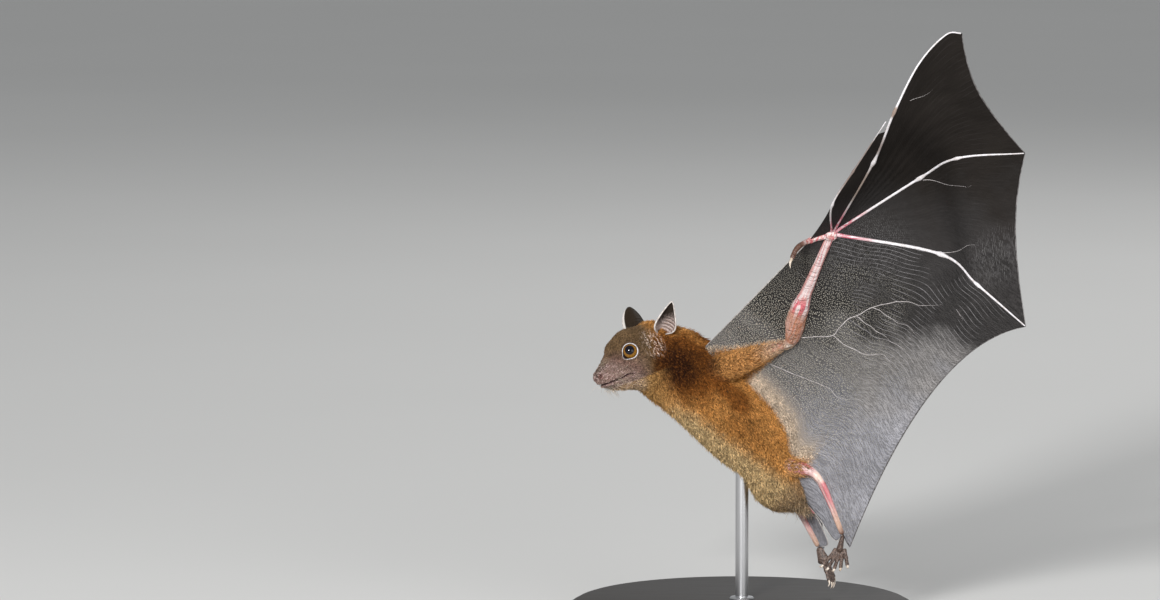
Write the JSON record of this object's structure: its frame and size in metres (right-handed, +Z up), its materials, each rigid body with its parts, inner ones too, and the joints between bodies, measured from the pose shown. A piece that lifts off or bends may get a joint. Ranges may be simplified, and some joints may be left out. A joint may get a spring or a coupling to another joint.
{
  "type": "short-nosed fruit bat",
  "caption": "Small orange-brown fruit bat in climbing flight, wings raised, held over a round display base by one short rod",
  "frame": {"origin": "centre of the stand's flat underside, under the rod, on the ground", "axes": "+Z up; the bat heads towards -X and climbs; its left wing is on -Y and its right wing on +Y"},
  "size_m": [0.1776, 0.2607, 0.2366],
  "materials": {
    "fur_orange": "short soft fur",
    "fur_brown": "short soft fur",
    "fur_grey": "short fine fur",
    "skin_pink": "bare skin",
    "finger_skin": "bare skin over bone",
    "wing_skin": "thin wrinkled skin",
    "foot_skin": "dark bare skin with pale claws",
    "eye": "wet gloss",
    "stand_black": "black satin stain",
    "stand_steel": "brushed"
  },
  "bodies": {
    "root": {"head": "fur_grey", "neck": "fur_brown", "trunk": "fur_orange", "tail": "skin_pink", "stand_base": "stand_black", "stand_rod": "stand_steel", "eye_left": "eye", "ear_left": "fur_grey", "upper_arm_left": "fur_orange", "forearm_left": "skin_pink", "wrist_left": "skin_pink", "thumb_left": "skin_pink", "finger_2_left": "finger_skin", "finger_3_left": "finger_skin", "finger_4_left": "finger_skin", "finger_5_left": "finger_skin", "propatagium_left": "wing_skin", "plagiopatagium_left": "wing_skin", "uropatagium_left": "wing_skin", "membrane_1_2_left": "wing_skin", "membrane_2_3_left": "wing_skin", "membrane_3_4_left": "wing_skin", "membrane_4_5_left": "wing_skin", "thigh_left": "skin_pink", "shank_left": "skin_pink", "foot_left": "foot_skin", "eye_right": "eye", "ear_right": "fur_grey", "upper_arm_right": "fur_orange", "forearm_right": "skin_pink", "wrist_right": "skin_pink", "thumb_right": "skin_pink", "finger_2_right": "finger_skin", "finger_3_right": "finger_skin", "finger_4_right": "finger_skin", "finger_5_right": "finger_skin", "propatagium_right": "wing_skin", "plagiopatagium_right": "wing_skin", "uropatagium_right": "wing_skin", "membrane_1_2_right": "wing_skin", "membrane_2_3_right": "wing_skin", "membrane_3_4_right": "wing_skin", "membrane_4_5_right": "wing_skin", "thigh_right": "skin_pink", "shank_right": "skin_pink", "foot_right": "foot_skin"}
  },
  "joints": []
}
